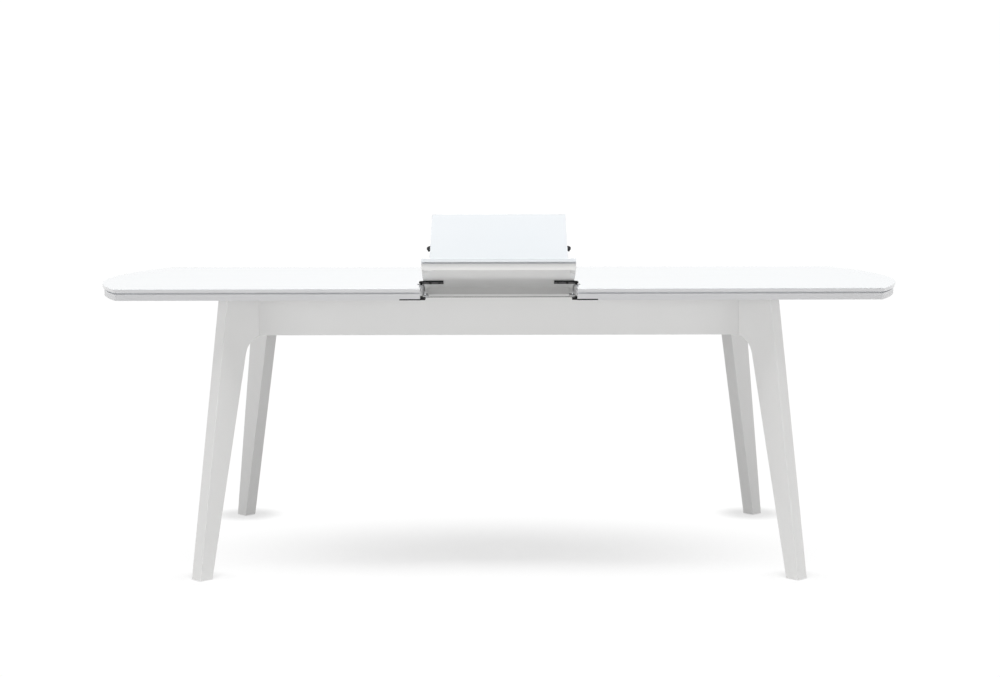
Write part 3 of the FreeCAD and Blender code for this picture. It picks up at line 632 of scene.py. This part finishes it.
def fixed(name, places, pattern, body, material, seed):
    """A piece with the pattern set at each (point, way)."""
    mesh = bpy.data.meshes.new(name + "_places")
    mesh.from_pydata([point for point, way in places], [], [])
    ways = mesh.attributes.new("way", "FLOAT_VECTOR", "POINT")
    ways.data.foreach_set("vector", [number for point, way in places for number in way])
    draft = bpy.data.objects.new(name + "_draft", mesh)
    bpy.context.scene.collection.objects.link(draft)
    nodes = draft.modifiers.new("fixings", "NODES")
    nodes.node_group = FIXINGS
    for key, given in (("Pattern", pattern), ("Finish", material), ("Seed", seed)):
        nodes[FIXINGS_KEYS[key]] = given
    made = evaluated_mesh(draft)
    bpy.data.objects.remove(draft)
    made.name = name
    return finished(name, made, body, material)


def fixings_of(node, pattern, seed):
    """The node's fixings with their details; they stand for the node."""
    places = [outer_end(solid) for solid in solids_of(node)]
    piece = fixed(node + "_detailed", places, pattern, BODY_OF[node], finish_of(node), seed)
    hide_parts(node)


PIVOT = Vector((0.0, -0.147, 0.720))
REST_TILT, REST_FOLD = math.radians(15.0), math.radians(41.4)
TOP = 0.760
FRONT_STAND = Matrix.Translation(PIVOT) @ Matrix.Rotation(-REST_TILT, 4, "X") @ Matrix.Translation(-PIVOT)
FOLD_LINE = Vector((0.0, 0.0, TOP))
REAR_STAND = (Matrix.Translation(FRONT_STAND @ FOLD_LINE) @ Matrix.Rotation(REST_FOLD - REST_TILT, 4, "X")
              @ Matrix.Translation(-FOLD_LINE))
HINGE_PLATE_FACE = 0.6 * MM
HINGE_MIDDLES = (-0.130, 0.0, 0.130)
HINGE_SCREWS_ACROSS = (-0.024, -0.008, 0.008, 0.024)
HINGE_SCREWS_DOWN = 0.0155
HINGE_SCREWS = [(middle + across, TOP - HINGE_SCREWS_DOWN)
                for middle in HINGE_MIDDLES for across in HINGE_SCREWS_ACROSS]


def hinge_screws(half, side, stand, pattern, seed):
    """Screws in the hinge plates of one half of the leaf, driven from the fold into its edge."""
    way = stand.to_3x3() @ Vector((0.0, side, 0.0))
    places = [(stand @ Vector((x, side * HINGE_PLATE_FACE, z)), way) for x, z in HINGE_SCREWS]
    fixed(f"fold_hinge_{half}_screws", places, pattern, "leaf_" + half,
          FINISHES["zinc_steel"], seed)


screw, hinge_screw, bolt = screw_pattern(), hinge_screw_pattern(), bolt_pattern()
for seed, node in enumerate(n for n in NODES if "_screws" in n):
    fixings_of(node, screw, seed)
fixings_of("leg_bolts", bolt, seed=40)
hinge_screws("front", side=-1, stand=FRONT_STAND, pattern=hinge_screw, seed=50)
hinge_screws("rear", side=1, stand=REAR_STAND, pattern=hinge_screw, seed=51)
for pattern in (screw, hinge_screw, bolt):
    bpy.data.objects.remove(pattern)

# ---------------------------------------------------------------- studio

CAMERA_PLACE = Vector((0.003, -5.460, 1.131))
CAMERA_DOWN = math.radians(5.695)
CAMERA_ROLL = -0.002
LENS = 70.27
SENSOR = 36.0
BACKGROUND = (1.0, 1.0, 1.0, 1.0)
WHITE = 1.02  # a hair above white, so that no noise shows in it


def make_camera():
    lens = bpy.data.cameras.new("camera")
    lens.lens = LENS
    lens.sensor_width = SENSOR
    lens.sensor_fit = "HORIZONTAL"
    lens.clip_end = 100.0
    camera = bpy.data.objects.new("camera", lens)
    turn = Matrix.Rotation(math.pi / 2 - CAMERA_DOWN, 4, "X") @ Matrix.Rotation(CAMERA_ROLL, 4, "Z")
    camera.matrix_world = Matrix.Translation(CAMERA_PLACE) @ turn
    bpy.context.scene.collection.objects.link(camera)
    bpy.context.scene.camera = camera


def seen_directly(graph):
    """1 for what the camera sees, also in a mirror or through glass, and 0 for what lights the table."""
    rays = graph.tree.nodes.new("ShaderNodeLightPath")
    camera, glossy, passed = (Link(graph, rays.outputs[name]) for name in
                              ("Is Camera Ray", "Is Glossy Ray", "Is Transmission Ray"))
    return graph.math("MAXIMUM", graph.math("MAXIMUM", camera, glossy), passed)


def make_world(strength):
    """White all round to the eye, and a plain dimmer light on the table."""
    world = bpy.data.worlds.new("studio")
    world.use_nodes = True
    graph = Graph(world.node_tree)
    seen = seen_directly(graph)
    background = world.node_tree.nodes["Background"]
    graph.feed(background.inputs["Color"], BACKGROUND)
    graph.feed(background.inputs["Strength"], strength + (WHITE - strength) * seen)
    bpy.context.scene.world = world


SHADOW_MIDDLE = (0.0, -0.1, 0.0)
SHADOW_REACH = (1.05, 0.60, 1.0)
SHADOW_FADE = (0.1, 1.0)  # in shares of the reach
FOOT_PLACE = (0.775, 0.455, 0.0)
FOOT_FADE = (0.04, 0.13)
FLOOR_PAINT = grey(0.88)


def make_floor(size, shade, lift):
    """A white floor: the table's shadow shows at a share of its depth, under the table and by its feet.

    lift is what the lit floor lacks of white where the shadow shows.
    """
    mesh = bpy.data.meshes.new("floor")
    half = size / 2
    square = [(-half, -half, 0), (half, -half, 0), (half, half, 0), (-half, half, 0)]
    mesh.from_pydata(square, [], [(0, 1, 2, 3)])
    floor = bpy.data.objects.new("floor", mesh)
    bpy.context.scene.collection.objects.link(floor)
    finish = bpy.data.materials.new("floor")
    finish.use_nodes = True
    graph = Graph(finish.node_tree)
    paint = finish.node_tree.nodes["Principled BSDF"]
    finish.node_tree.nodes.remove(paint)
    matt = graph.node("ShaderNodeBsdfDiffuse", {"Color": FLOOR_PAINT})
    glow = graph.node("ShaderNodeEmission", {"Color": BACKGROUND, "Strength": WHITE})

    def vector(operation, *values, output=0):
        return graph.node("ShaderNodeVectorMath", dict(enumerate(values)), output=output, operation=operation)

    def fading(distance, near, far):
        """1 up to the near distance, falling smoothly to 0 at the far one."""
        sockets = {"Value": distance, "From Min": near, "From Max": far, "To Min": 1.0, "To Max": 0.0}
        return graph.node("ShaderNodeMapRange", sockets, interpolation_type="SMOOTHSTEP")

    place = graph.node("ShaderNodeTexCoord", output="Object")
    off = vector("DIVIDE", vector("SUBTRACT", place, SHADOW_MIDDLE), SHADOW_REACH)
    under = fading(vector("LENGTH", off, output=1), *SHADOW_FADE)
    feet = fading(vector("DISTANCE", vector("ABSOLUTE", place), FOOT_PLACE, output=1), *FOOT_FADE)
    seen = seen_directly(graph)
    share = 1.0 - seen + shade * (seen * graph.math("MAXIMUM", under, feet))
    lifting = graph.node("ShaderNodeEmission", {"Color": BACKGROUND, "Strength": lift * seen})
    lit = graph.node("ShaderNodeAddShader", {0: matt, 1: lifting})
    mixed = graph.node("ShaderNodeMixShader", {0: share, 1: glow, 2: lit})
    graph.feed(finish.node_tree.nodes["Material Output"].inputs["Surface"], mixed)
    mesh.materials.append(finish)


def softbox(name, place, aim, width, height, power, mirrored=False):
    light = bpy.data.lights.new(name, "AREA")
    light.shape = "RECTANGLE"
    light.size, light.size_y = width, height
    light.energy = power
    item = bpy.data.objects.new(name, light)
    place, aim = Vector(place), Vector(aim)
    turn = (aim - place).to_track_quat("-Z", "Y").to_matrix().to_4x4()
    item.matrix_world = Matrix.Translation(place) @ turn
    item.visible_glossy = mirrored
    bpy.context.scene.collection.objects.link(item)


make_camera()
make_world(strength=0.42)
make_floor(size=60.0, shade=0.52, lift=0.18)
softbox("overhead", (0.0, -1.3, 6.6), (0.0, 0.0, 0.6), width=1.6, height=1.6, power=194.0, mirrored=True)
softbox("front", (0.0, -7.4, 0.9), (0.0, 0.0, 0.6), width=3.0, height=1.4, power=33.0)
softbox("front_left", (-7.0, -3.9, 1.0), (0.0, 0.0, 0.4), width=2.6, height=2.0, power=102.0)
softbox("front_right", (7.0, -3.9, 1.0), (0.0, 0.0, 0.4), width=2.6, height=2.0, power=94.0)
bpy.context.scene.view_settings.view_transform = "Standard"
